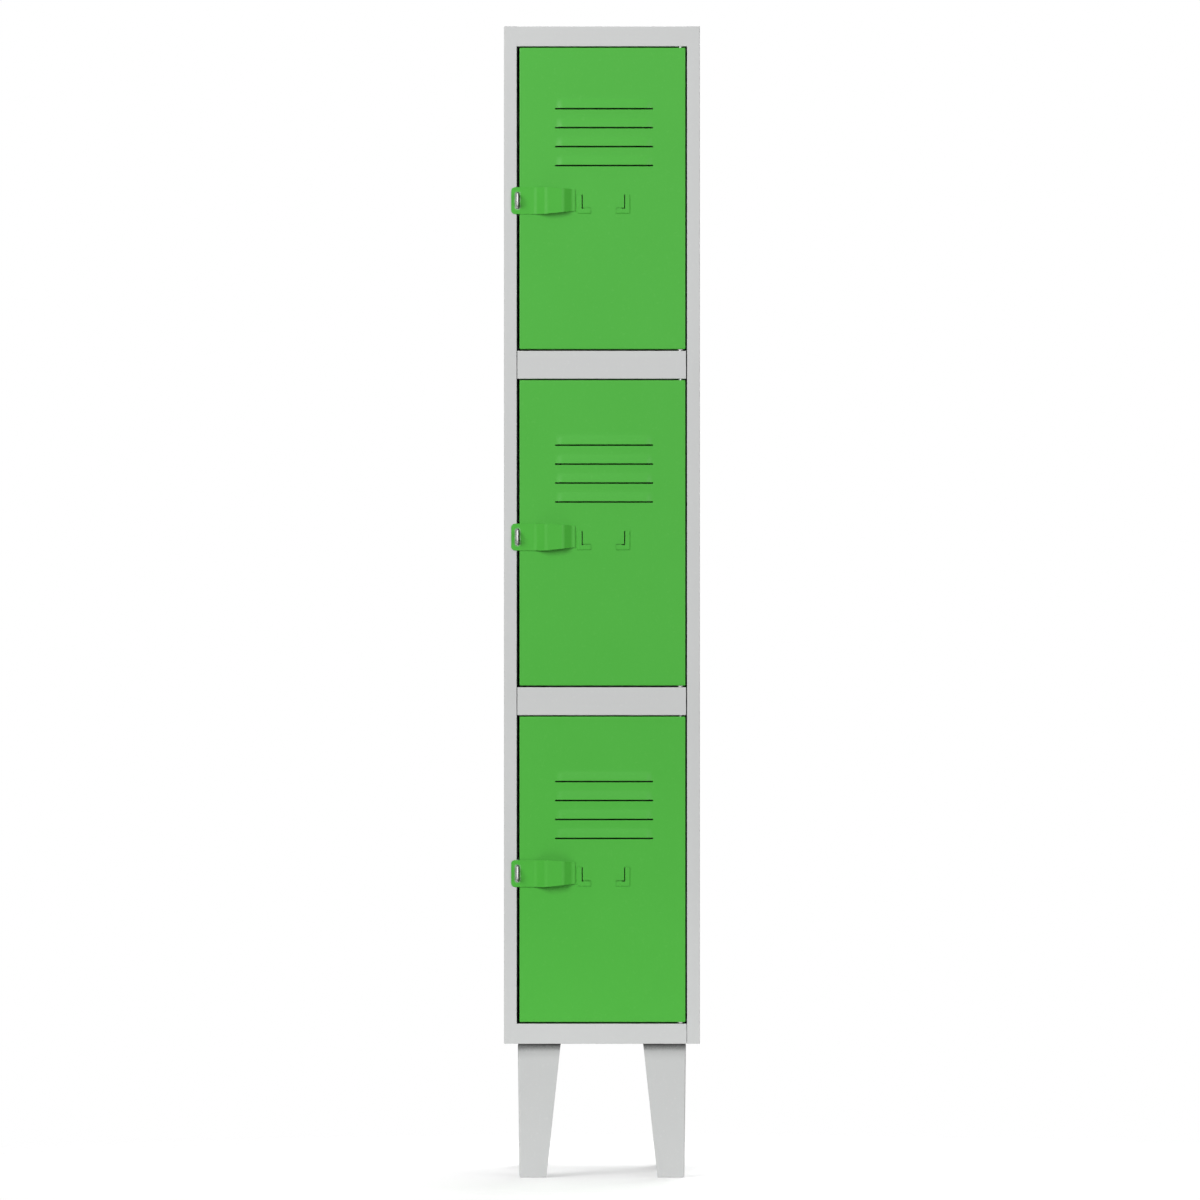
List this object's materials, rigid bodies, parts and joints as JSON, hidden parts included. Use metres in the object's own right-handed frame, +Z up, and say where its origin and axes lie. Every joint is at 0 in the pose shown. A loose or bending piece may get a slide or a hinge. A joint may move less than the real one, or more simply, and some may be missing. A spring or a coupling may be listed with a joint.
{
  "type": "school locker",
  "caption": "Tall narrow steel locker on tapered legs, with a column of hinged doors, each with louvres, a card holder and a slotted hasp over a padlock tongue.",
  "frame": {"origin": "on the floor, under the centre of the overall box", "axes": "+Z up; the doors face -Y; their hinges are at +X"},
  "size_m": [0.306, 0.518, 1.8],
  "materials": {
    "carcass_paint": "light grey epoxy powder coat, satin, fine orange peel",
    "leg_paint": "light grey epoxy powder coat, satin",
    "tongue_paint": "light grey powder coat, worn at the padlock hole",
    "door_paint": "bright green epoxy powder coat, satin, fine orange peel",
    "hasp_paint": "bright green powder coat, handled smooth",
    "zinc_plate": "zinc-plated steel",
    "bush_nylon": "natural nylon"
  },
  "bodies": {
    "carcass": {"side_panel_left": "carcass_paint", "side_panel_right": "carcass_paint", "back_panel": "carcass_paint", "top_panel": "carcass_paint", "shelf_below_middle": "carcass_paint", "shelf_below_top": "carcass_paint", "base_panel": "carcass_paint", "leg_front_left": "leg_paint", "leg_front_left_1_bolt": "zinc_plate", "leg_front_left_1_nut": "zinc_plate", "leg_front_left_2_bolt": "zinc_plate", "leg_front_left_2_nut": "zinc_plate", "leg_front_right": "leg_paint", "leg_front_right_1_bolt": "zinc_plate", "leg_front_right_1_nut": "zinc_plate", "leg_front_right_2_bolt": "zinc_plate", "leg_front_right_2_nut": "zinc_plate", "leg_rear_left": "leg_paint", "leg_rear_left_1_bolt": "zinc_plate", "leg_rear_left_1_nut": "zinc_plate", "leg_rear_left_2_bolt": "zinc_plate", "leg_rear_left_2_nut": "zinc_plate", "leg_rear_right": "leg_paint", "leg_rear_right_1_bolt": "zinc_plate", "leg_rear_right_1_nut": "zinc_plate", "leg_rear_right_2_bolt": "zinc_plate", "leg_rear_right_2_nut": "zinc_plate", "padlock_tongue_bottom": "tongue_paint", "hinge_pin_lower_bottom": "zinc_plate", "hinge_pin_upper_bottom": "zinc_plate", "padlock_tongue_middle": "tongue_paint", "hinge_pin_lower_middle": "zinc_plate", "hinge_pin_upper_middle": "zinc_plate", "padlock_tongue_top": "tongue_paint", "hinge_pin_lower_top": "zinc_plate", "hinge_pin_upper_top": "zinc_plate"},
    "bottom_door": {"door_bottom": "door_paint", "door_stiffener_bottom": "door_paint", "hasp_bottom": "hasp_paint", "hinge_bush_lower_bottom": "bush_nylon", "hinge_bush_upper_bottom": "bush_nylon"},
    "middle_door": {"door_middle": "door_paint", "door_stiffener_middle": "door_paint", "hasp_middle": "hasp_paint", "hinge_bush_lower_middle": "bush_nylon", "hinge_bush_upper_middle": "bush_nylon"},
    "top_door": {"door_top": "door_paint", "door_stiffener_top": "door_paint", "hasp_top": "hasp_paint", "hinge_bush_lower_top": "bush_nylon", "hinge_bush_upper_top": "bush_nylon"}
  },
  "joints": [
    {"name": "bottom_door_hinge", "type": "hinge", "parent": "carcass", "child": "bottom_door", "pos_m": [0.1225, -0.2355, 0.4817], "axis": [0, 0, 1], "range_deg": [0, 110]},
    {"name": "middle_door_hinge", "type": "hinge", "parent": "carcass", "child": "middle_door", "pos_m": [0.1225, -0.2355, 1.00737], "axis": [0, 0, 1], "range_deg": [0, 110]},
    {"name": "top_door_hinge", "type": "hinge", "parent": "carcass", "child": "top_door", "pos_m": [0.1225, -0.2355, 1.53303], "axis": [0, 0, 1], "range_deg": [0, 110]}
  ]
}
